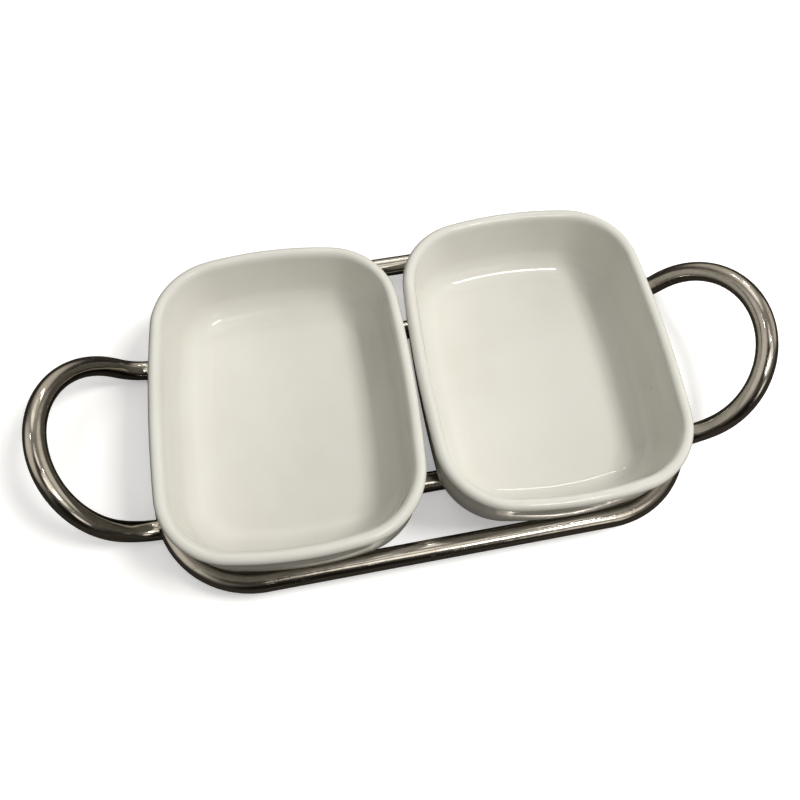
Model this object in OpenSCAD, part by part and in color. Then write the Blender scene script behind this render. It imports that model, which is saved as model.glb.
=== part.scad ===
// Twin-dish chip and dip server.
// A polished tube stand carries two lift-out porcelain dishes.
// Frame of reference: +X along the long axis, +Y to the back, +Z up.
// The origin is on the table, under the middle of the tube stand.

/* [Tube] */
// Outer diameter of every tube in the stand
tube_d = 12.7; // [10:0.1:14]
// Wall thickness of the tube
tube_wall = 1.2; // [0.8:0.1:2]

/* [Gallery ring] */
// Half length of the gallery ring, to the tube centre
ring_a = 156.6; // [154:0.2:165]
// Half depth of the gallery ring, to the tube centre
ring_b = 97.2; // [96:0.2:104]
// Bend radius of the gallery ring corners, to the tube centre
ring_corner = 54; // [48:0.5:58]

/* [Lower rails and handles] */
// Half spacing of the two lower rails, to the tube centres
rail_half = 53.5; // [50:0.5:58]
// Distance from the middle to the seam where a rail meets a handle's upward bend
bend_start = 160.5; // [160.5:0.1:166]
// Radius of the upward bend, to the tube centre
bend_r = 28; // [22:0.5:32]
// Angle that the handles rise at
handle_tilt = 51; // [35:1:58]
// Straight length between the upward bend and the round of the handle
handle_leg = 0.8; // [0.5:0.1:10]

/* [Dishes] */
// Half width of a dish at its rim, across the server's long axis
dish_a = 75.6; // [70:0.1:75.8]
// Half depth of a dish at its rim
dish_b = 95.6; // [90:0.1:96]
// Radius of the gentle bow in the dish's long sides
bow_long = 765; // [500:5:900]
// Radius of the bow in the dish's short sides
bow_short = 227; // [180:1:300]
// Corner radius of the dish at its rim
dish_corner = 43.4; // [42:0.2:48]
// Height of the rim above the table
rim_z = 68.8; // [64:0.2:74]
// Distance from the middle of the server to a dish's centre
dish_x = 76.3; // [76.3:0.1:77]
// Height of the eating floor of a dish above the table
floor_z = 24; // [22:0.5:27]
// Seating angle of the left dish in the ring
left_turn = -2; // [-2.2:0.1:0]
// Seating angle of the right dish in the ring
right_turn = -1.25; // [-2.2:0.05:0]
// Forward offset of the left dish in the ring
left_shift = -3.1; // [-3.4:0.1:0]
// Forward offset of the right dish in the ring
right_shift = -2; // [-3.4:0.1:0]
// Air gap between a dish's foot and the rails that carry it
seat_gap = 0.15; // [0.1:0.05:0.4]

/* [Hidden] */
tube_r = tube_d / 2;
bore_r = tube_r - tube_wall;
// The lower rails lie on the table.
rail_z = tube_r;
// The ring crosses on top of the rails and is brazed there.
braze_bite = 0.2;
ring_z = rail_z + tube_d - braze_bite;
ring_cx = ring_a - ring_corner;
ring_cy = ring_b - ring_corner;
// Where the ring's corner passes over a rail.
cross_y = rail_half;
cross_x = ring_cx + sqrt(ring_corner * ring_corner - (cross_y - ring_cy) * (cross_y - ring_cy));
braze_r = 4.8;
foot_z = tube_d + seat_gap;
tube_fn = 48;
bend_fn = 120;

// Dish outline: two long-side arcs, two short-side arcs and four corner arcs, all tangent.
cxl = dish_a - bow_long;
cys = dish_b - bow_short;
rl = bow_long - dish_corner;
rs = bow_short - dish_corner;
span = sqrt(cxl * cxl + cys * cys);
along = (rl * rl - rs * rs + span * span) / (2 * span);
off = sqrt(rl * rl - along * along);
// Centre of the dish's corner arc at +X, +Y.
corner_x = cxl - along * cxl / span - off * cys / span;
corner_y = along * cys / span - off * cxl / span;
// Half angles swept by the long-side and short-side arcs.
long_half = atan2(corner_y, corner_x - cxl);
short_half = atan2(corner_x, corner_y - cys);
corner_sweep = 90 - long_half - short_half;

// Points on an arc from angle p to angle q in n steps.
function arc(cx, cy, r, p, q, n) = [for (i = [0:n]) [cx + r * cos(p + (q - p) * i / n), cy + r * sin(p + (q - p) * i / n)]];

// The outline as a list of [arc centre x, arc centre y, radius, angle], once round.
long_steps = 4;
corner_steps = 9;
short_steps = 3;
quarter = concat(
    [for (i = [0:long_steps / 2 - 1]) [cxl, 0, bow_long, long_half * i / (long_steps / 2)]],
    [for (i = [0:corner_steps - 1]) [corner_x, corner_y, dish_corner, long_half + corner_sweep * i / corner_steps]],
    [for (i = [0:short_steps - 1]) [0, cys, bow_short, 90 - short_half + short_half * i / short_steps]]);
nq = len(quarter);
// Mirrored copies of the quarter, in the order that goes round once.
outline = concat(
    quarter,
    [[0, cys, bow_short, 90]],
    [for (i = [nq - 1:-1:1]) [-quarter[i][0], quarter[i][1], quarter[i][2], 180 - quarter[i][3]]],
    [for (q = quarter) [-q[0], -q[1], q[2], 180 + q[3]]],
    [[0, -cys, bow_short, 270]],
    [for (i = [nq - 1:-1:1]) [quarter[i][0], -quarter[i][1], quarter[i][2], 360 - quarter[i][3]]]);

// Dish section as [inset from the rim outline, height], from the eating floor over the rim to the underside.
foot_in = 24.5;
foot_w = 4.6;
under_z = floor_z - 5.6;
wall_top = rim_z - 7.6;
fillet_r = 18;
floor_in = 28.5;
// The lower body nests inside the ring, and this shoulder passes just over it.
shoulder_z = ring_z + tube_r + 0.6;
dish_section = concat(
    // inner fillet, from the floor up to the wall
    arc(floor_in, floor_z + fillet_r, fillet_r, 270, 190, 6),
    // inner wall and the inside of the lip
    [[8.3, rim_z - 13], [7.4, rim_z - 5.2], [6.7, rim_z - 2.0]],
    // rounded lip
    [[5.2, rim_z - 0.4], [3.5, rim_z], [1.6, rim_z - 0.6], [0.3, rim_z - 2.2], [0, rim_z - 4.2], [0.7, rim_z - 6.2], [1.6, wall_top]],
    // outer wall
    [[2.2, 42], [2.9, shoulder_z + 5.2]],
    // shoulder over the ring
    [[3.9, shoulder_z + 1.8], [6.4, shoulder_z + 0.1], [9.8, shoulder_z - 0.4]],
    // lower body inside the ring, down to the foot
    [[12.2, 22.4], [14.8, 19], [18.8, 16.4], [foot_in, 14.8], [foot_in + 0.4, foot_z]],
    // foot ring and the recess inside it
    [[foot_in + foot_w - 0.4, foot_z], [foot_in + foot_w + 1.2, under_z]]);

// Cross section of the tube.
module tube_section() {
    difference() {
        circle(r = tube_r, $fn = tube_fn);
        circle(r = bore_r, $fn = tube_fn);
    }
}

// Straight tube of a given length along +X.
module straight_tube(len) {
    rotate([90, 0, 90]) linear_extrude(height = len) tube_section();
}

// Tube bent round the Z axis from angle 0.
module bent_tube(r, sweep) {
    rotate_extrude(angle = sweep, $fn = bend_fn) translate([r, 0]) tube_section();
}

// One long straight side of the gallery ring.
module ring_rail(side) {
    translate([-ring_cx, side * ring_b, ring_z]) straight_tube(2 * ring_cx);
}

// One end of the gallery ring: two corners and the bar between them.
module ring_bow(side) {
    mirror([side < 0 ? 1 : 0, 0, 0]) translate([0, 0, ring_z]) union() {
        translate([ring_cx, ring_cy, 0]) bent_tube(ring_corner, 90);
        translate([ring_cx, -ring_cy, 0]) rotate([0, 0, -90]) bent_tube(ring_corner, 90);
        translate([ring_a, -ring_cy, 0]) rotate([0, 0, 90]) straight_tube(2 * ring_cy);
    }
}

// One lower rail under the dishes.
module lower_rail(side) {
    translate([-bend_start, side * rail_half, rail_z]) straight_tube(2 * bend_start);
}

// Carrying handle: two legs bend up out of the rails and meet in a half round.
// It is drawn in the tilted plane, from the centre of the upward bend.
module handle(side) {
    mirror([side < 0 ? 1 : 0, 0, 0]) translate([bend_start, 0, rail_z + bend_r]) rotate([0, -handle_tilt, 0]) union() {
        for (y = [-rail_half, rail_half]) {
            translate([0, y, 0]) mirror([1, 0, 0]) rotate([90, 0, 0]) rotate([0, 0, -90]) bent_tube(bend_r, handle_tilt);
            translate([0, y, -bend_r]) straight_tube(handle_leg);
        }
        translate([handle_leg, 0, -bend_r]) rotate([0, 0, -90]) bent_tube(rail_half, 180);
    }
}

// Braze saddle between a rail and the ring that crosses on it.
module braze_saddle(sx, sy) {
    mirror([sx < 0 ? 1 : 0, 0, 0]) mirror([0, sy < 0 ? 1 : 0, 0]) difference() {
        translate([cross_x, cross_y, rail_z + 2]) cylinder(r = braze_r, h = ring_z - rail_z - 4, $fn = 48);
        translate([cross_x, cross_y, rail_z]) cylinder(r = 2.4, h = ring_z - rail_z, $fn = 32);
        translate([cross_x - 12, cross_y, rail_z]) rotate([0, 90, 0]) cylinder(r = tube_r, h = 24, $fn = 96);
        translate([ring_cx, ring_cy, ring_z]) rotate_extrude($fn = 180) translate([ring_corner, 0]) circle(r = tube_r, $fn = 96);
    }
}

module braze_joints() {
    color("#b9b4a8") for (sx = [-1, 1], sy = [-1, 1]) braze_saddle(sx, sy);
}

// One porcelain dish, centred on the Z axis: the section carried round the outline.
module dish() {
    n = len(outline);
    m = len(dish_section);
    points = concat(
        [for (p = dish_section) for (o = outline) [o[0] + (o[2] - p[0]) * cos(o[3]), o[1] + (o[2] - p[0]) * sin(o[3]), p[1]]],
        [[0, 0, floor_z], [0, 0, under_z]]);
    faces = concat(
        [for (j = [0:m - 2]) for (i = [0:n - 1]) [j * n + i, j * n + (i + 1) % n, (j + 1) * n + (i + 1) % n]],
        [for (j = [0:m - 2]) for (i = [0:n - 1]) [j * n + i, (j + 1) * n + (i + 1) % n, (j + 1) * n + i]],
        [for (i = [0:n - 1]) [n * m, (i + 1) % n, i]],
        [for (i = [0:n - 1]) [n * m + 1, (m - 1) * n + i, (m - 1) * n + (i + 1) % n]]);
    polyhedron(points = points, faces = faces);
}

module dish_left() {
    color("#efece6") translate([-dish_x, left_shift, 0]) rotate([0, 0, left_turn]) dish();
}
module dish_right() {
    color("#efece6") translate([dish_x, right_shift, 0]) rotate([0, 0, right_turn]) dish();
}
module ring_front_rail() { color("#c9c6c0") ring_rail(-1); }
module ring_back_rail() { color("#c9c6c0") ring_rail(1); }
module ring_bow_left() { color("#c9c6c0") ring_bow(-1); }
module ring_bow_right() { color("#c9c6c0") ring_bow(1); }
module lower_rail_front() { color("#c9c6c0") lower_rail(-1); }
module lower_rail_back() { color("#c9c6c0") lower_rail(1); }
module handle_left() { color("#c9c6c0") handle(-1); }
module handle_right() { color("#c9c6c0") handle(1); }

dish_left();
dish_right();
ring_front_rail();
ring_back_rail();
ring_bow_left();
ring_bow_right();
lower_rail_front();
lower_rail_back();
handle_left();
handle_right();
braze_joints();
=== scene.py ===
import math

import bpy
import numpy as np
from mathutils import Matrix, Vector, noise


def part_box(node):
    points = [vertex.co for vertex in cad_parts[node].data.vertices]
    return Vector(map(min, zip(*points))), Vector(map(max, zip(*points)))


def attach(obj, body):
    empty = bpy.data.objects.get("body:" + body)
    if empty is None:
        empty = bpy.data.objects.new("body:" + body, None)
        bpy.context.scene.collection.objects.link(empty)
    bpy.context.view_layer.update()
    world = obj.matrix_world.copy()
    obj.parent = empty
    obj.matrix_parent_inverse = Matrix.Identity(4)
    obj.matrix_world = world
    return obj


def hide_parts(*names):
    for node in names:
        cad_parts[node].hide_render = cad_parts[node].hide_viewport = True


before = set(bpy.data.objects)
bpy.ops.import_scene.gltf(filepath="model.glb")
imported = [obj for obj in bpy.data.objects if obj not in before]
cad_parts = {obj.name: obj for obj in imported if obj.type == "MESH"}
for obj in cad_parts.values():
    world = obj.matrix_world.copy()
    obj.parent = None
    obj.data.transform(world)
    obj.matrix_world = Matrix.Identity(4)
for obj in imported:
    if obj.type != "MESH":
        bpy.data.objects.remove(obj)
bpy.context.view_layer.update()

MM = 0.001


# ---------------------------------------------------------------- dimensions
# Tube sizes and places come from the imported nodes' own boxes.
def lohi(node):
    lo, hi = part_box(node)
    return np.array(lo), np.array(hi)


f_lo, f_hi = lohi("ring_front_rail")
TUBE_R = (f_hi[2] - f_lo[2]) / 2
RING_Z = (f_hi[2] + f_lo[2]) / 2
RING_B = abs(f_lo[1] + f_hi[1]) / 2
RING_CX = f_hi[0]
b_lo, b_hi = lohi("ring_bow_right")
RING_A = b_hi[0] - TUBE_R
RING_CORNER = RING_A - RING_CX
RING_CY = RING_B - RING_CORNER
r_lo, r_hi = lohi("lower_rail_front")
RAIL_Z = (r_lo[2] + r_hi[2]) / 2
RAIL_HALF = abs(r_lo[1] + r_hi[1]) / 2
BEND_START = r_hi[0]
BEND_R = 28.0 * MM
TILT = math.radians(51)
LEG = 0.8 * MM
# The shown bend starts gently, a little before the seam.
EASE_START = BEND_START - 8 * MM
EASE = 3.6 * MM
BORE_R = TUBE_R - 1.2 * MM

# Dish outline: arcs of the long sides, short sides and corners.
DISH_A, DISH_B = 75.6 * MM, 95.6 * MM
BOW_L, BOW_S, DISH_C = 765 * MM, 227 * MM, 43.4 * MM
RIM_Z = 68.8 * MM
FLOOR_Z = 24.0 * MM
FOOT_Z = 12.85 * MM
UNDER_Z = FLOOR_Z - 5.6 * MM
DISHES = {
    "dish_left": ("left_dish", -76.3 * MM, -3.1 * MM, math.radians(-2.0)),
    "dish_right": ("right_dish", 76.3 * MM, -2.0 * MM, math.radians(-1.25)),
}

# ---------------------------------------------------------------- camera
CAM_F, CAM_CX, CAM_CY = 750.9, 394.9, 372.85
CAM_R = np.array([[0.9829, -0.183627, 0.013731], [-0.161725, -0.896506, -0.412459], [0.088048, 0.403186, -0.910873]])
CAM_POS = Vector((-0.0495081, -0.1769208, 0.4586577))
cam_data = bpy.data.cameras.new("photo_camera")
cam = bpy.data.objects.new("photo_camera", cam_data)
bpy.context.scene.collection.objects.link(cam)
cam_data.sensor_width = 36.0
cam_data.lens = CAM_F / 800 * 36.0
cam_data.shift_x = (400 - CAM_CX) / 800
cam_data.shift_y = (CAM_CY - 400) / 800
cam_data.clip_start = 0.01
cam_data.clip_end = 20
cam_data.dof.use_dof = False
right, up, back = CAM_R[0], -CAM_R[1], -CAM_R[2]
m = Matrix([[right[i], up[i], back[i], CAM_POS[i]] for i in range(3)] + [[0, 0, 0, 1]])
cam.matrix_world = m
bpy.context.scene.camera = cam


# ---------------------------------------------------------------- node helpers
class Graph:
    """Small helper to lay out a node tree."""

    def __init__(self, tree):
        self.t = tree
        self.n = tree.nodes
        self.n.clear()

    def add(self, kind, **props):
        node = self.n.new(kind)
        for k, v in props.items():
            setattr(node, k, v)
        return node

    def link(self, a, b):
        self.t.links.new(a, b)

    def put(self, socket, value):
        if hasattr(value, "is_linked") or hasattr(value, "is_output"):
            self.link(value, socket)
        else:
            socket.default_value = value

    def math(self, op, a, b=0.0, c=0.0, clamp=False):
        node = self.add("ShaderNodeMath", operation=op, use_clamp=clamp)
        for i, v in enumerate((a, b, c)):
            self.put(node.inputs[i], v)
        return node.outputs[0]

    def noise(self, vec, scale, detail=3.0, rough=0.5, distort=0.0, kind="FBM"):
        node = self.add("ShaderNodeTexNoise", noise_type=kind)
        self.put(node.inputs["Vector"], vec)
        node.inputs["Scale"].default_value = scale
        node.inputs["Detail"].default_value = detail
        node.inputs["Roughness"].default_value = rough
        node.inputs["Distortion"].default_value = distort
        return node.outputs["Fac"] if "Fac" in node.outputs else node.outputs[0]

    def voronoi(self, vec, scale, randomness=1.0):
        node = self.add("ShaderNodeTexVoronoi", feature="F1")
        self.put(node.inputs["Vector"], vec)
        node.inputs["Scale"].default_value = scale
        node.inputs["Randomness"].default_value = randomness
        return node.outputs["Distance"], node.outputs["Color"]

    def mapping(self, vec, scale=(1, 1, 1), loc=(0, 0, 0), rot=(0, 0, 0)):
        node = self.add("ShaderNodeMapping")
        self.put(node.inputs["Vector"], vec)
        node.inputs["Scale"].default_value = scale
        node.inputs["Location"].default_value = loc
        node.inputs["Rotation"].default_value = rot
        return node.outputs[0]

    def ramp(self, fac, stops, interp="LINEAR"):
        node = self.add("ShaderNodeValToRGB")
        node.color_ramp.interpolation = interp
        el = node.color_ramp.elements
        while len(el) > 1:
            el.remove(el[-1])
        el[0].position, el[0].color = stops[0][0], (*stops[0][1], 1)
        for p, c in stops[1:]:
            e = el.new(p)
            e.color = (*c, 1)
        self.put(node.inputs[0], fac)
        return node.outputs[0]

    def span(self, value, a, b, c=0.0, d=1.0, smooth=True):
        node = self.add("ShaderNodeMapRange", interpolation_type="SMOOTHSTEP" if smooth else "LINEAR")
        for i, v in enumerate((value, a, b, c, d)):
            self.put(node.inputs[i], v)
        return node.outputs[0]

    def mix(self, fac, a, b, mode="MIX"):
        node = self.add("ShaderNodeMix", data_type="RGBA", blend_type=mode)
        self.put(node.inputs[0], fac)
        for sock, v in ((node.inputs[6], a), (node.inputs[7], b)):
            self.put(sock, (*v, 1) if isinstance(v, tuple) and len(v) == 3 else v)
        return node.outputs[2]

    def bump(self, height, strength, distance, normal=None):
        node = self.add("ShaderNodeBump")
        self.put(node.inputs["Height"], height)
        node.inputs["Strength"].default_value = strength
        node.inputs["Distance"].default_value = distance
        if normal is not None:
            self.link(normal, node.inputs["Normal"])
        return node.outputs[0]


def new_material(name):
    mat = bpy.data.materials.new(name)
    mat.use_nodes = True
    return mat, Graph(mat.node_tree)


# ---------------------------------------------------------------- materials
def make_porcelain():
    mat, g = new_material("glazed_porcelain")
    out = g.add("ShaderNodeOutputMaterial")
    bsdf = g.add("ShaderNodeBsdfPrincipled")
    g.link(bsdf.outputs[0], out.inputs[0])
    obj = g.add("ShaderNodeTexCoord").outputs["Object"]
    sep = g.add("ShaderNodeSeparateXYZ")
    g.link(obj, sep.inputs[0])
    # Slow colour drift of the glaze over the body.
    drift = g.noise(obj, 14.0, 2.0, 0.55)
    cloud = g.noise(g.mapping(obj, loc=(3.1, 1.7, 0.4)), 55.0, 3.0, 0.5)
    colour = g.mix(g.span(drift, 0.3, 0.7), (0.680, 0.668, 0.612), (0.712, 0.704, 0.650))
    colour = g.mix(g.math("MULTIPLY", g.span(cloud, 0.35, 0.75), 0.35), colour, (0.722, 0.717, 0.672))
    # Tiny iron specks and grey pinholes in the glaze.
    dist, cell = g.voronoi(obj, 85.0)
    sc = g.add("ShaderNodeSeparateColor")
    g.link(cell, sc.inputs[0])
    size = g.span(sc.outputs[1], 0.0, 1.0, 0.018, 0.055, smooth=False)
    speck = g.math("MULTIPLY", g.math("LESS_THAN", dist, size), g.math("GREATER_THAN", sc.outputs[0], 0.955))
    dist2, cell2 = g.voronoi(g.mapping(obj, loc=(0.37, 0.11, 0.23)), 210.0)
    sc2 = g.add("ShaderNodeSeparateColor")
    g.link(cell2, sc2.inputs[0])
    pin = g.math("MULTIPLY", g.span(dist2, 0.03, 0.075, 1.0, 0.0), g.math("GREATER_THAN", sc2.outputs[2], 0.975))
    colour = g.mix(g.math("MULTIPLY", pin, 0.35), colour, (0.46, 0.44, 0.39))
    colour = g.mix(g.math("MULTIPLY", speck, 0.85), colour, (0.075, 0.06, 0.045))
    # The bare ring under the foot, where the glaze is wiped off.
    bare = g.span(g.math("ADD", sep.outputs[2], g.math("MULTIPLY", g.noise(obj, 160.0, 2.0), 0.0006)), 0.01345, 0.01385, 1.0, 0.0)
    grit = g.noise(obj, 2600.0, 3.0, 0.7)
    bisque = g.mix(g.span(grit, 0.3, 0.7), (0.60, 0.56, 0.49), (0.70, 0.665, 0.60))
    soil = g.noise(obj, 240.0, 4.0, 0.6)
    bisque = g.mix(g.span(soil, 0.52, 0.72, 0.0, 0.55), bisque, (0.36, 0.33, 0.29))
    colour = g.mix(bare, colour, bisque)
    g.link(colour, bsdf.inputs["Base Color"])
    # Glaze gloss with faint drag marks, and a dry foot.
    hazy = g.noise(g.mapping(obj, loc=(5.2, 0.3, 8.8)), 38.0, 4.0, 0.6)
    fine = g.noise(obj, 620.0, 2.0, 0.5)
    rough = g.span(hazy, 0.3, 0.75, 0.035, 0.075)
    rough = g.math("ADD", rough, g.math("MULTIPLY", g.span(fine, 0.45, 0.7), 0.02))
    rough = g.math("ADD", rough, g.math("MULTIPLY", bare, 0.62))
    g.link(rough, bsdf.inputs["Roughness"])
    bsdf.inputs["IOR"].default_value = 1.52
    # Orange-peel of the glaze, pinholes, gritty foot.
    peel = g.noise(obj, 110.0, 2.0, 0.45)
    slow = g.noise(g.mapping(obj, loc=(1.3, 9.1, 4.4)), 26.0, 1.0, 0.4)
    n1 = g.bump(slow, 0.35, 0.0014)
    n2 = g.bump(peel, 0.12, 0.00016, n1)
    n3 = g.bump(g.math("ADD", pin, speck), 0.35, -0.00006, n2)
    n4 = g.bump(g.math("MULTIPLY", grit, bare), 0.5, 0.00012, n3)
    g.link(n4, bsdf.inputs["Normal"])
    return mat


def make_metal(name, base_a, base_b, dull, rough_lo, rough_hi, scratch):
    """Polished nickel plate: warm tint, tarnish clouds, buffing lines along the tube, hairline scratches and pits."""
    mat, g = new_material(name)
    out = g.add("ShaderNodeOutputMaterial")
    bsdf = g.add("ShaderNodeBsdfPrincipled")
    g.link(bsdf.outputs[0], out.inputs[0])
    obj = g.add("ShaderNodeTexCoord").outputs["Object"]
    uv = g.add("ShaderNodeUVMap", uv_map="tube").outputs[0]
    bsdf.inputs["Metallic"].default_value = 1.0
    # Tarnish clouds.
    t1 = g.noise(obj, 32.0, 4.0, 0.62, 0.6)
    t2 = g.noise(g.mapping(obj, loc=(2.7, 5.5, 1.9)), 190.0, 4.0, 0.65)
    tarnish = g.span(g.math("ADD", g.math("MULTIPLY", t1, 0.7), g.math("MULTIPLY", t2, 0.3)), 0.44, 0.66)
    colour = g.mix(g.span(t2, 0.35, 0.7), base_a, base_b)
    colour = g.mix(g.math("MULTIPLY", tarnish, 0.55), colour, dull)
    # Small dark pits in the plating.
    dist, cell = g.voronoi(obj, 520.0)
    sc = g.add("ShaderNodeSeparateColor")
    g.link(cell, sc.inputs[0])
    pit = g.math("MULTIPLY", g.span(dist, 0.10, 0.24, 1.0, 0.0), g.math("GREATER_THAN", sc.outputs[0], 0.93))
    pit = g.math("MULTIPLY", pit, g.span(t1, 0.42, 0.6))
    colour = g.mix(g.math("MULTIPLY", pit, 0.6), colour, (0.10, 0.085, 0.07))
    g.link(colour, bsdf.inputs["Base Color"])
    # Buffing lines run round the tube; hairline scratches run at random.
    buff = g.noise(g.mapping(uv, scale=(1500.0, 60.0, 1.0)), 1.0, 3.0, 0.6)
    hair = g.noise(g.mapping(uv, scale=(70.0, 1900.0, 1.0), rot=(0, 0, 0.35)), 1.0, 2.0, 0.5)
    hair2 = g.noise(g.mapping(uv, scale=(1200.0, 90.0, 1.0), rot=(0, 0, -0.6)), 1.0, 2.0, 0.5)
    lines = g.math("ADD", g.span(hair, 0.66, 0.74), g.span(hair2, 0.68, 0.76))
    rough = g.span(tarnish, 0.0, 1.0, rough_lo, rough_hi)
    rough = g.math("ADD", rough, g.math("MULTIPLY", g.span(buff, 0.3, 0.7), 0.03))
    rough = g.math("ADD", rough, g.math("MULTIPLY", lines, 0.16))
    g.link(rough, bsdf.inputs["Roughness"])
    wob = g.noise(obj, 70.0, 2.0, 0.5)
    n1 = g.bump(wob, 0.45, 0.0005)
    n2 = g.bump(buff, 0.16 * scratch, 0.00004, n1)
    n3 = g.bump(lines, 0.5 * scratch, -0.00003, n2)
    n4 = g.bump(pit, 0.6, -0.00008, n3)
    g.link(n4, bsdf.inputs["Normal"])
    return mat


PORCELAIN = make_porcelain()
NICKEL = make_metal("polished_nickel_tube", (0.60, 0.57, 0.515), (0.66, 0.635, 0.585), (0.41, 0.365, 0.31), 0.075, 0.19, 1.0)
BRAZE = make_metal("plated_braze", (0.53, 0.49, 0.42), (0.60, 0.55, 0.48), (0.33, 0.28, 0.22), 0.22, 0.38, 1.4)


# ---------------------------------------------------------------- mesh helpers
def make_object(name, verts, faces, material, uvs=None, sharp_ring=None):
    mesh = bpy.data.meshes.new(name)
    mesh.from_pydata([tuple(v) for v in verts], [], faces)
    mesh.update()
    mesh.polygons.foreach_set("use_smooth", [True] * len(mesh.polygons))
    if uvs is not None:
        layer = mesh.uv_layers.new(name="tube")
        layer.data.foreach_set("uv", np.asarray(uvs, dtype=np.float32).ravel())
    if sharp_ring is not None:
        keys = set(sharp_ring)
        for e in mesh.edges:
            if tuple(sorted(e.vertices)) in keys:
                e.use_edge_sharp = True
    mesh.materials.append(material)
    mesh.validate()
    mesh.update()
    ob = bpy.data.objects.new(name, mesh)
    bpy.context.scene.collection.objects.link(ob)
    return ob


def tube_mesh(name, path, material, around=56, u0=0.0, seed=0):
    """A hollow tube swept along path, a list of (point, squash) with squash the small flattening in a bend."""
    P = np.array([p for p, _, _ in path])
    flat = np.array([s for _, s, _ in path])
    axis = np.array([a for _, _, a in path])
    n = len(P)
    T = np.gradient(P, axis=0)
    T[0], T[-1] = P[1] - P[0], P[-1] - P[-2]
    # The end tangents are set from the path's own first and last steps, extended by half a step of curvature.
    if n > 3:
        T[0] = 2 * (P[1] - P[0]) - (P[2] - P[0]) / 2
        T[-1] = 2 * (P[-1] - P[-2]) - (P[-1] - P[-3]) / 2
    T /= np.linalg.norm(T, axis=1)[:, None]
    U = axis - (axis * T).sum(1)[:, None] * T
    U /= np.linalg.norm(U, axis=1)[:, None]
    V = np.cross(T, U)
    S = np.r_[0, np.cumsum(np.linalg.norm(np.diff(P, axis=0), axis=1))]
    rings_out, rings_in = [], []
    ang = np.arange(around) * 2 * math.pi / around
    for i in range(n):
        for radius, rings in ((TUBE_R, rings_out), (BORE_R, rings_in)):
            wob = 0.0
            if radius == TUBE_R and 0 < i < n - 1:
                w = noise.noise(Vector((S[i] * 22 + seed * 7.3, seed * 1.9, 0.0)))
                wob = -0.00004 * (0.5 + 0.5 * w)
            ru = radius + wob
            rv = (radius + wob) * (1 - flat[i])
            rings.append(P[i] + np.cos(ang)[:, None] * U[i] * ru + np.sin(ang)[:, None] * V[i] * rv)
    verts = np.vstack(rings_out + rings_in)
    faces, uvs = [], []
    for i in range(n - 1):
        for j in range(around):
            k = (j + 1) % around
            a, b, c, d = i * around + j, i * around + k, (i + 1) * around + k, (i + 1) * around + j
            faces.append((a, b, c, d))
            v0, v1 = j * 2 * math.pi * TUBE_R / around, (j + 1) * 2 * math.pi * TUBE_R / around
            uvs += [(u0 + S[i], v0), (u0 + S[i], v1), (u0 + S[i + 1], v1), (u0 + S[i + 1], v0)]
            o = n * around
            faces.append((o + a, o + d, o + c, o + b))
            uvs += [(u0 + S[i], v0), (u0 + S[i + 1], v0), (u0 + S[i + 1], v1), (u0 + S[i], v1)]
    sharp = []
    for i, flip in ((0, False), (n - 1, True)):
        for j in range(around):
            k = (j + 1) % around
            o = n * around
            a, b, c, d = i * around + j, i * around + k, o + i * around + k, o + i * around + j
            faces.append((a, b, c, d) if flip else (a, d, c, b))
            uvs += [(u0 + S[i], 0.0), (u0 + S[i], 0.0), (u0 + S[i] + 0.001, 0.0), (u0 + S[i] + 0.001, 0.0)]
            sharp += [tuple(sorted((a, b))), tuple(sorted((d, c)))]
    return make_object(name, verts, faces, material, uvs, sharp)


def line(a, b, step, axis, squash=0.0):
    a, b = np.array(a, float), np.array(b, float)
    k = max(2, int(round(np.linalg.norm(b - a) / step)))
    return [(a + (b - a) * i / k, squash, axis) for i in range(k + 1)]


def bend_squash(t, amount=0.02, ease=0.12):
    """Flattening grows from nothing at each end of a bend."""
    e = min(1.0, t / ease, (1 - t) / ease)
    e = max(0.0, e)
    return amount * e * e * (3 - 2 * e)


def arc_path(centre, ex, ey, radius, a0, a1, step, axis, amount=0.02):
    centre, ex, ey = (np.array(v, float) for v in (centre, ex, ey))
    k = max(6, int(round(abs(a1 - a0) * radius / step)))
    pts = []
    for i in range(k + 1):
        t = i / k
        a = a0 + (a1 - a0) * t
        pts.append((centre + radius * (math.cos(a) * ex + math.sin(a) * ey), bend_squash(t, amount), axis))
    return pts


def joined(*parts):
    out = list(parts[0])
    for p in parts[1:]:
        out += p[1:]
    return out


Z = (0.0, 0.0, 1.0)
tubes = []
# Gallery ring.
for side, nm in ((-1, "ring_front_rail"), (1, "ring_back_rail")):
    p = line((-RING_CX, side * RING_B, RING_Z), (RING_CX, side * RING_B, RING_Z), 0.0025, Z)
    tubes.append((nm, tube_mesh(nm + "_tube", p, NICKEL, u0=0.3 * side, seed=2 + side)))
for side, nm in ((-1, "ring_bow_left"), (1, "ring_bow_right")):
    s = side
    p = joined(
        arc_path((s * RING_CX, -RING_CY, RING_Z), (0, -1, 0), (s, 0, 0), RING_CORNER, 0, math.pi / 2, 0.0014, Z, 0.012),
        line((s * RING_A, -RING_CY, RING_Z), (s * RING_A, RING_CY, RING_Z), 0.0025, Z),
        arc_path((s * RING_CX, RING_CY, RING_Z), (s, 0, 0), (0, 1, 0), RING_CORNER, 0, math.pi / 2, 0.0014, Z, 0.012),
    )
    if side < 0:
        p = p[::-1]
    tubes.append((nm, tube_mesh(nm + "_tube", p, NICKEL, u0=1.7 * side, seed=6 + side)))
# Lower rails.
for side, nm in ((-1, "lower_rail_front"), (1, "lower_rail_back")):
    p = line((-EASE_START, side * RAIL_HALF, RAIL_Z), (EASE_START, side * RAIL_HALF, RAIL_Z), 0.0025, Z)
    tubes.append((nm, tube_mesh(nm + "_tube", p, NICKEL, u0=2.9 + side, seed=10 + side)))


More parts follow.
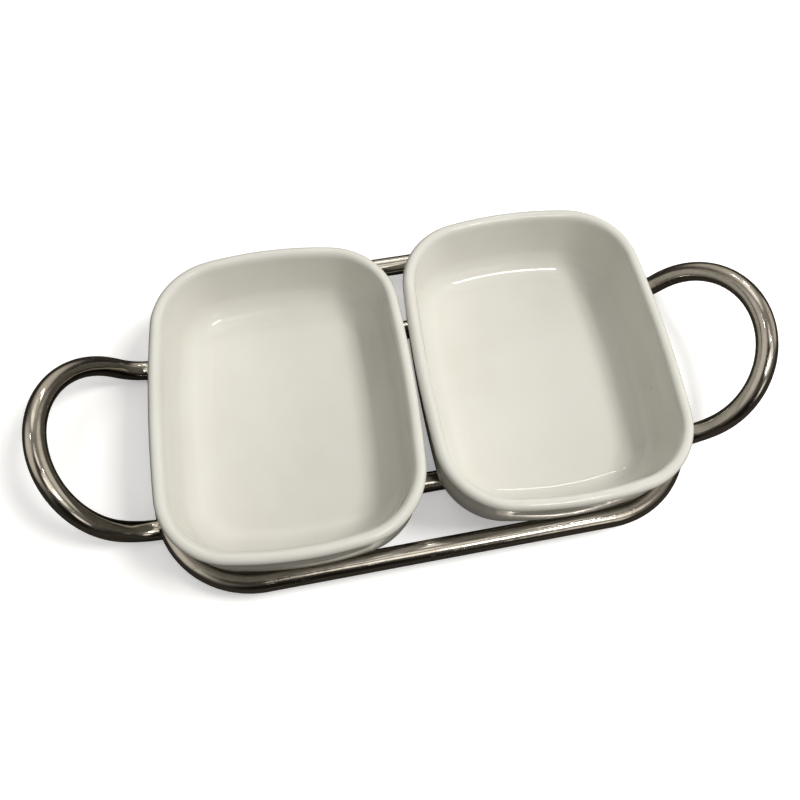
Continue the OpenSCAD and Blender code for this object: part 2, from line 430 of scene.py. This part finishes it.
# Handles: bend up out of the rail, short leg, half round in the tilted plane, and back.
# The centreline is laid out finely and then eased, so that one bend runs into the next.
def handle_path(s):
    d = np.array((s * math.cos(TILT), 0, math.sin(TILT)))
    ahead = np.array((s * 1.0, 0, 0))
    h = RAIL_HALF
    start = np.array((s * (BEND_START + BEND_R * math.sin(TILT)), 0, RAIL_Z + BEND_R * (1 - math.cos(TILT))))
    c = start + d * LEG
    step = 0.0005
    lead = 0.040

    def side(y):
        n = int(round(lead / step))
        pts = [np.array((s * (BEND_START - lead + step * i), y, RAIL_Z)) for i in range(n)]
        n = int(round(BEND_R * TILT / step))
        pts += [np.array((s * (BEND_START + BEND_R * math.sin(TILT * i / n)), y, RAIL_Z + BEND_R * (1 - math.cos(TILT * i / n)))) for i in range(n)]
        n = max(1, int(round(LEG / step)))
        pts += [start + d * LEG * i / n + np.array((0, y, 0)) for i in range(n)]
        return pts

    n = int(round(math.pi * h / step))
    loop = [c + h * (math.sin(math.pi * i / n) * d - math.cos(math.pi * i / n) * np.array((0, 1, 0))) for i in range(n + 1)]
    P = np.array(side(-h) + loop + side(h)[::-1])
    S = np.r_[0, np.cumsum(np.linalg.norm(np.diff(P, axis=0), axis=1))]
    U = np.arange(0, S[-1], step)
    P = np.stack([np.interp(U, S, P[:, i]) for i in range(3)], axis=1)
    half = int(3.2 * EASE / step)
    w = np.exp(-0.5 * (np.arange(-half, half + 1) * step / EASE) ** 2)
    w /= w.sum()
    soft = P.copy()
    for i in range(3):
        soft[half : len(P) - half, i] = np.convolve(P[:, i], w, mode="valid")
    # Make up for the little that easing draws the loop in.
    tip = len(soft) // 2
    soft += (P[tip] - soft[tip]) * np.clip((np.abs(soft[:, :1]) - EASE_START) / (abs(P[tip, 0]) - EASE_START), 0, 1)
    keep = np.abs(soft[:, 0]) >= EASE_START - step / 2
    soft = soft[keep]
    soft[0, 0] = soft[-1, 0] = s * EASE_START
    soft = soft[::3] if (len(soft) - 1) % 3 == 0 else np.vstack([soft[:-1:3], soft[-1:]])
    T = np.gradient(soft, axis=0)
    T /= np.linalg.norm(T, axis=1)[:, None]
    turn = np.linalg.norm(np.gradient(T, axis=0), axis=1) / np.maximum(np.linalg.norm(np.gradient(soft, axis=0), axis=1), 1e-9)
    across = np.array((0, 1.0, 0))
    out = []
    for i in range(len(soft)):
        rise = min(1.0, max(0.0, (abs(soft[i, 0]) - EASE_START) / (abs(start[0]) - EASE_START)))
        rise = rise * rise * (3 - 2 * rise)
        ax = np.array((-s * math.sin(TILT * rise), 0, math.cos(TILT * rise)))
        out.append((soft[i], min(0.016, 0.00045 * turn[i]), ax))
    return out


for side, nm in ((-1, "handle_left"), (1, "handle_right")):
    p = handle_path(side)
    if side < 0:
        p = p[::-1]
    tubes.append((nm, tube_mesh(nm + "_tube", p, NICKEL, u0=4.5 + side, seed=20 + side)))

for nm, ob in tubes:
    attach(ob, "stand")
    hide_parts(nm)

# ---------------------------------------------------------------- braze fillets
cross_y = RAIL_HALF
cross_x = RING_CX + math.sqrt(RING_CORNER**2 - (cross_y - RING_CY) ** 2)
yaw = math.atan2(cross_y - RING_CY, cross_x - RING_CX)
BR = 4.8 * MM


def braze_verts(sx, sy):
    around, rows = 64, []
    low = lambda rho, ph: RAIL_Z + math.sqrt(TUBE_R**2 - (rho * math.sin(ph)) ** 2)

    def high(rho, ph):
        # distance from the ring's centreline measured across it, seen from above
        x = cross_x + rho * math.cos(ph) - RING_CX
        y = cross_y + rho * math.sin(ph) - RING_CY
        off = math.hypot(x, y) - RING_CORNER
        return RING_Z - math.sqrt(max(TUBE_R**2 - off * off, 0))

    steps = []
    for rho in (2.4, 3.2, 4.0):
        steps.append(("low", rho * MM))
    for i in range(9):
        steps.append(("side", i / 8))
    for rho in (4.0, 3.2, 2.4):
        steps.append(("high", rho * MM))
    verts = []
    for kind, v in steps:
        for j in range(around):
            ph = 2 * math.pi * j / around
            if kind == "low":
                rho, z = v, low(v, ph) + 0.00001
            elif kind == "high":
                rho, z = v, high(v, ph) - 0.00001
            else:
                reach = BR * (1 + 0.025 * math.sin(3 * ph + sx + 2 * sy))
                reach = min(reach, BR)
                gap = high(reach, ph) - low(reach, ph)
                rho = reach - 0.42 * gap * math.sin(math.pi * v)
                z = low(reach, ph) + gap * v
            verts.append((sx * (cross_x + rho * math.cos(ph)), sy * (cross_y + rho * math.sin(ph)), z))
    m_, faces = len(steps), []
    for i in range(m_):
        for j in range(around):
            k = (j + 1) % around
            i2 = (i + 1) % m_
            f = (i * around + j, i * around + k, i2 * around + k, i2 * around + j)
            faces.append(f if sx * sy > 0 else f[::-1])
    return verts, faces


bv, bf = [], []
for sx in (-1, 1):
    for sy in (-1, 1):
        v, f = braze_verts(sx, sy)
        o = len(bv)
        bv += v
        bf += [tuple(i + o for i in q) for q in f]
buv = [(bv[i][0] + bv[i][1] * 0.3, bv[i][2] + bv[i][1]) for q in bf for i in q]
braze = make_object("braze_fillets", bv, bf, BRAZE, buv)
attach(braze, "stand")
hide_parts("braze_joints")

# ---------------------------------------------------------------- dishes
cxl, cys = DISH_A - BOW_L, DISH_B - BOW_S
rl, rs = BOW_L - DISH_C, BOW_S - DISH_C
span_ = math.hypot(cxl, cys)
along = (rl * rl - rs * rs + span_ * span_) / (2 * span_)
off_ = math.sqrt(rl * rl - along * along)
COX = cxl - along * cxl / span_ - off_ * cys / span_
COY = along * cys / span_ - off_ * cxl / span_
LONG = math.atan2(COY, COX - cxl)
SHORT = math.atan2(COX, COY - cys)
SWEEP = math.pi / 2 - LONG - SHORT


def outline(long_n=12, corner_n=26, short_n=10):
    q = [(cxl, 0.0, BOW_L, LONG * i / long_n) for i in range(long_n)]
    q += [(COX, COY, DISH_C, LONG + SWEEP * i / corner_n) for i in range(corner_n)]
    q += [(0.0, cys, BOW_S, math.pi / 2 - SHORT + SHORT * i / short_n) for i in range(short_n)]
    out = list(q) + [(0.0, cys, BOW_S, math.pi / 2)]
    out += [(-x, y, r, math.pi - a) for x, y, r, a in q[:0:-1]]
    out += [(-x, -y, r, math.pi + a) for x, y, r, a in q]
    out += [(0.0, -cys, BOW_S, 1.5 * math.pi)]
    out += [(x, -y, r, 2 * math.pi - a) for x, y, r, a in q[:0:-1]]
    return out


def catmull(pts, n):
    """Centripetal Catmull-Rom through pts, n samples a span, ends clamped."""
    P = [np.array(p, float) for p in pts]
    P = [2 * P[0] - P[1]] + P + [2 * P[-1] - P[-2]]
    out = []
    for i in range(1, len(P) - 2):
        p0, p1, p2, p3 = P[i - 1 : i + 3]
        t0 = 0.0
        t1 = t0 + max(np.linalg.norm(p1 - p0), 1e-9) ** 0.5
        t2 = t1 + max(np.linalg.norm(p2 - p1), 1e-9) ** 0.5
        t3 = t2 + max(np.linalg.norm(p3 - p2), 1e-9) ** 0.5
        for k in range(n):
            t = t1 + (t2 - t1) * k / n
            a1 = (t1 - t) / (t1 - t0) * p0 + (t - t0) / (t1 - t0) * p1
            a2 = (t2 - t) / (t2 - t1) * p1 + (t - t1) / (t2 - t1) * p2
            a3 = (t3 - t) / (t3 - t2) * p2 + (t - t2) / (t3 - t2) * p3
            b1 = (t2 - t) / (t2 - t0) * a1 + (t - t0) / (t2 - t0) * a2
            b2 = (t3 - t) / (t3 - t1) * a2 + (t - t1) / (t3 - t1) * a3
            out.append((t2 - t) / (t2 - t1) * b1 + (t - t1) / (t2 - t1) * b2)
    out.append(P[-2])
    return out


rz, fz, uz, ft = RIM_Z / MM, FLOOR_Z / MM, UNDER_Z / MM, FOOT_Z / MM
FIL, FIN = 18.0, 28.5
SH = (RING_Z + TUBE_R) / MM + 0.6
inner = [(FIN + 1.8, fz), (FIN, fz)] + [
    (FIN + FIL * math.cos(math.radians(a)), fz + FIL + FIL * math.sin(math.radians(a))) for a in (256.7, 243.3, 230, 216.7, 203.3, 190)
]
inner += [(9.35, 47.5), (8.3, rz - 13.0), (7.75, rz - 8.6), (7.4, rz - 5.2), (7.05, rz - 3.1), (6.5, rz - 1.6), (5.6, rz - 0.6), (4.5, rz - 0.1), (3.5, rz), (2.4, rz - 0.22), (1.4, rz - 0.8), (0.65, rz - 1.7), (0.15, rz - 2.9), (0.0, rz - 4.2), (0.12, rz - 5.1), (0.6, rz - 6.1), (1.15, rz - 6.9), (1.6, rz - 8.0), (1.8, rz - 12.0)]
outer = [(2.2, 42.0), (2.5, 36.0), (2.9, SH + 5.2), (3.25, SH + 3.1), (3.95, SH + 1.5), (5.0, SH + 0.55), (6.4, SH + 0.1), (8.2, SH - 0.1), (9.9, SH - 0.6), (11.2, SH - 1.8), (12.2, 22.4), (13.4, 20.6), (14.9, 18.9), (16.7, 17.5), (18.9, 16.3), (21.6, 15.5), (23.9, 15.0), (24.6, 14.3), (24.75, 13.6), (25.05, ft + 0.22), (25.7, ft + 0.01), (26.9, ft), (28.0, ft + 0.02), (28.6, ft + 0.3), (29.0, 14.3), (29.4, uz - 2.4), (30.2, uz - 0.7), (31.8, uz)]
SECTION = catmull(inner + outer, 5)


def dish_mesh(name, body, X, Y, turn, seed):
    loop = outline()
    n = len(loop)
    verts = []
    sec = [np.array(p) * MM for p in SECTION]
    m_ = len(sec)
    ca, sa = math.cos(turn), math.sin(turn)
    floor_rings, under_rings = 9, 5

    def place(x, y, z):
        return (X + x * ca - y * sa, Y + x * sa + y * ca, z)

    def base(p, o):
        return o[0] + (o[2] - p[0]) * math.cos(o[3]), o[1] + (o[2] - p[0]) * math.sin(o[3])

    rows = []
    # floor, from the middle out
    for i in range(1, floor_rings + 1):
        t = i / (floor_rings + 1)
        rows.append([(x * t, y * t, sec[0][1] + 0.00012 * (1 - t * t)) for x, y in (base(sec[0], o) for o in loop)])
    for p in sec:
        rows.append([(*base(p, o), p[1]) for o in loop])
    for i in range(under_rings, 0, -1):
        t = i / (under_rings + 1)
        rows.append([(x * t, y * t, sec[-1][1]) for x, y in (base(sec[-1], o) for o in loop)])
    # soft hand-made unevenness, held to zero at the foot so that it stands flat
    for r in rows:
        for x, y, z in r:
            w = noise.noise(Vector((x * 17 + seed, y * 17, z * 17 - seed)))
            hold = min(1.0, max(0.0, (z - 0.0155) / 0.01))
            rad = math.hypot(x, y)
            push = 0.00022 * w * hold
            lift = 0.00018 * noise.noise(Vector((x * 9, y * 9 + seed, 4.0))) * hold
            k = 1 - (abs(push) if z > 0.05 else -push) / max(rad, 1e-3) if rad > 0.02 else 1
            verts.append(place(x * k, y * k, min(z + (lift if z < 0.06 else -abs(lift)), RIM_Z)))
    R = len(rows)
    c0 = len(verts)
    verts.append(place(0, 0, sec[0][1] + 0.00012))
    verts.append(place(0, 0, sec[-1][1]))
    faces = []
    for i in range(R - 1):
        for j in range(n):
            k = (j + 1) % n
            faces.append((i * n + j, (i + 1) * n + j, (i + 1) * n + k, i * n + k))
    for j in range(n):
        k = (j + 1) % n
        faces.append((c0, j, k))
        faces.append((c0 + 1, (R - 1) * n + k, (R - 1) * n + j))
    ob = make_object(name + "_porcelain", verts, faces, PORCELAIN)
    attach(ob, body)
    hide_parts(name)
    return ob


for i, (nm, (body, X, Y, turn)) in enumerate(DISHES.items()):
    dish_mesh(nm, body, X, Y, turn, 3.7 + 11.3 * i)

# ---------------------------------------------------------------- stage and light
fm = bpy.data.meshes.new("studio_floor")
fm.from_pydata([(-6, -6, 0), (6, -6, 0), (6, 6, 0), (-6, 6, 0)], [], [(0, 1, 2, 3)])
floor = bpy.data.objects.new("studio_floor", fm)
bpy.context.scene.collection.objects.link(floor)
floor.location.z = -0.00005
mat, g = new_material("pale_floor")
out = g.add("ShaderNodeOutputMaterial")
pale = g.add("ShaderNodeBsdfDiffuse")
pale.inputs[0].default_value = (0.93, 0.93, 0.925, 1)
lift = g.add("ShaderNodeEmission")
lift.inputs[0].default_value = (1.0, 1.0, 0.995, 1)
lift.inputs[1].default_value = 0.34
seen = g.add("ShaderNodeAddShader")
g.link(pale.outputs[0], seen.inputs[0])
g.link(lift.outputs[0], seen.inputs[1])
# Every ray but the camera's meets a dark floor. It bounces little light, which paints shade on the dishes' outer walls,
# and in glossy rays it is darker still, which paints dark reflections along the tubes' lower sides. The camera alone
# sees the pale, lifted floor.
dark = g.add("ShaderNodeBsdfDiffuse")
dark.inputs[0].default_value = (0.20, 0.18, 0.155, 1)
mirrored = g.add("ShaderNodeBsdfDiffuse")
mirrored.inputs[0].default_value = (0.045, 0.040, 0.034, 1)
path = g.add("ShaderNodeLightPath")
mixg = g.add("ShaderNodeMixShader")
g.link(path.outputs["Is Glossy Ray"], mixg.inputs[0])
g.link(dark.outputs[0], mixg.inputs[1])
g.link(mirrored.outputs[0], mixg.inputs[2])
mixs = g.add("ShaderNodeMixShader")
g.link(path.outputs["Is Camera Ray"], mixs.inputs[0])
g.link(mixg.outputs[0], mixs.inputs[1])
g.link(seen.outputs[0], mixs.inputs[2])
g.link(mixs.outputs[0], out.inputs[0])
fm.materials.append(mat)

world = bpy.data.worlds.new("studio")
bpy.context.scene.world = world
world.use_nodes = True
g = Graph(world.node_tree)
out = g.add("ShaderNodeOutputWorld")
soft = g.add("ShaderNodeBackground")
soft.inputs[0].default_value = (1.0, 0.985, 0.955, 1)
soft.inputs[1].default_value = 0.09
room = g.add("ShaderNodeBackground")
room.inputs[1].default_value = 1.0
direction = g.add("ShaderNodeTexCoord").outputs["Generated"]


def lobe(x, y, z, inner_deg, outer_deg):
    """1 inside a cone about a direction, falling to 0 at the outer angle."""
    v = Vector((x, y, z)).normalized()
    dot = g.add("ShaderNodeVectorMath", operation="DOT_PRODUCT")
    g.link(direction, dot.inputs[0])
    dot.inputs[1].default_value = v
    return g.span(dot.outputs["Value"], math.cos(math.radians(outer_deg)), math.cos(math.radians(inner_deg)))


def toward(az, el):
    az, el = math.radians(az), math.radians(el)
    return math.cos(el) * math.cos(az), math.cos(el) * math.sin(az), math.sin(el)


sepd = g.add("ShaderNodeSeparateXYZ")
g.link(direction, sepd.inputs[0])
colour = g.mix(g.span(sepd.outputs[2], 0.0, 0.85), (0.026, 0.023, 0.020), (0.27, 0.25, 0.222))
colour = g.mix(lobe(*toward(85, 34), 12, 42), colour, (0.62, 0.575, 0.50))
colour = g.mix(lobe(*toward(178, 40), 8, 38), colour, (0.70, 0.655, 0.58))
colour = g.mix(lobe(*toward(10, 30), 8, 28), colour, (0.72, 0.67, 0.59))
colour = g.mix(lobe(*toward(-112, 66), 9, 30), colour, (0.055, 0.048, 0.040))
colour = g.mix(lobe(*toward(-48, 58), 6, 21), colour, (1.15, 1.09, 0.99))
colour = g.mix(lobe(*toward(-100, 22), 10, 34), colour, (0.012, 0.010, 0.008))
# A pale band over the zenith, which draws the long streak on the handles.
colour = g.mix(lobe(*toward(93, 55), 5, 17), colour, (1.35, 1.285, 1.17))
colour = g.mix(lobe(*toward(-10, 85), 3, 12), colour, (1.15, 1.095, 1.0))
colour = g.mix(lobe(*toward(-80, 64), 4, 13), colour, (1.55, 1.475, 1.34))
colour = g.mix(lobe(*toward(-66, 28), 3, 12), colour, (1.10, 1.04, 0.94))
g.link(colour, room.inputs[0])
path = g.add("ShaderNodeLightPath")
mixw = g.add("ShaderNodeMixShader")
g.link(path.outputs["Is Glossy Ray"], mixw.inputs[0])
g.link(soft.outputs[0], mixw.inputs[1])
g.link(room.outputs[0], mixw.inputs[2])
# The backdrop that low views see behind the floor.
backdrop = g.add("ShaderNodeBackground")
backdrop.inputs[0].default_value = (0.80, 0.80, 0.795, 1)
backdrop.inputs[1].default_value = 1.0
mixc = g.add("ShaderNodeMixShader")
g.link(path.outputs["Is Camera Ray"], mixc.inputs[0])
g.link(mixw.outputs[0], mixc.inputs[1])
g.link(backdrop.outputs[0], mixc.inputs[2])
g.link(mixc.outputs[0], out.inputs[0])


def area(name, pos, target, size, size_y, power, colour=(1, 1, 1), glossy=True):
    data = bpy.data.lights.new(name, "AREA")
    data.shape = "RECTANGLE"
    data.size, data.size_y = size, size_y
    data.energy = power
    data.color = colour
    ob = bpy.data.objects.new(name, data)
    bpy.context.scene.collection.objects.link(ob)
    ob.location = pos
    d = Vector(target) - Vector(pos)
    ob.rotation_euler = d.to_track_quat("-Z", "Y").to_euler()
    ob.visible_glossy = glossy
    ob.visible_camera = False
    return ob


def soft_box(name, az, el, power, size=1.1, dist=2.2):
    x, y, z = toward(az, el)
    area(name, (dist * x, dist * y, dist * z + 0.03), (0, 0, 0.03), size, size, power, (1.0, 0.985, 0.955), glossy=False)


soft_box("key", -14, 61, 25.0, size=0.5)
soft_box("overhead", 0, 90, 8.5)
soft_box("front_right", -50, 50, 6.0, size=1.5)
soft_box("back_right", 67.5, 45, 6.5)
soft_box("right_low", 0, 24, 11.0)
soft_box("back_low", 95, 22, 4.5)
soft_box("front_low", -92, 38, 5.0)


def strip(name, az, el, width, height, radiance, dist=2.0):
    """A lit panel that is only seen in reflections."""
    x, y, z = toward(az, el)
    ob = area(name, (dist * x, dist * y, dist * z + 0.03), (0, 0, 0.03), width, height, radiance * math.pi * width * height, (1.0, 0.985, 0.96))
    ob.visible_diffuse = False


strip("window", -62, 57, 0.50, 0.20, 13.0)
strip("tubes_a", 66, 40, 0.24, 0.06, 16.0)
strip("tubes_b", 84, 38, 0.30, 0.05, 16.0)
strip("lamp_a", -20, 70, 0.07, 0.07, 24.0)
strip("lamp_b", 150, 62, 0.08, 0.08, 24.0)

bpy.context.scene.view_settings.view_transform = "Standard"
bpy.context.scene.view_settings.look = "None"
bpy.context.scene.view_settings.exposure = 0.0
